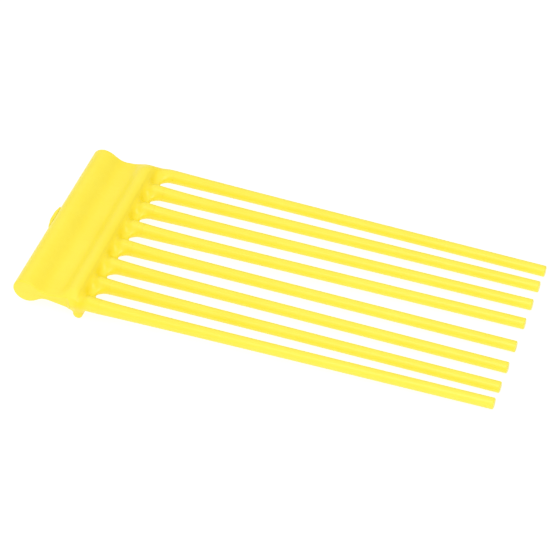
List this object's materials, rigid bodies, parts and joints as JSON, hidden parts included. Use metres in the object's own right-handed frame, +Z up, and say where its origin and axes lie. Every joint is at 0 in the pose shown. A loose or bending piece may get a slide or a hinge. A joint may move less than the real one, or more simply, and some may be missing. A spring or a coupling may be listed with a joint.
{
  "type": "grooming comb",
  "caption": "Wide-toothed grooming comb with a round barrel spine, a raised rib and long round tapering tines.",
  "frame": {"origin": "on the surface the comb lies on, under the middle of its bounding box", "axes": "+X along the tines towards their tips, +Y along the barrel towards tine_1, +Z up through the rib"},
  "size_m": [0.1721, 0.075, 0.0116],
  "materials": {
    "head_plastic": "satin moulded yellow plastic, slightly translucent",
    "bed_plastic": "satin moulded yellow plastic, slightly translucent",
    "tine_plastic": "glossy moulded lemon yellow plastic, slightly translucent",
    "lug_plastic": "satin moulded yellow plastic"
  },
  "bodies": {
    "root": {"upper_shell": "head_plastic", "lower_shell": "head_plastic", "tine_bed": "bed_plastic", "tine_1": "tine_plastic", "tine_2": "tine_plastic", "tine_3": "tine_plastic", "tine_4": "tine_plastic", "tine_5": "tine_plastic", "tine_6": "tine_plastic", "tine_7": "tine_plastic", "tine_8": "tine_plastic", "back_lug": "lug_plastic"}
  },
  "joints": []
}
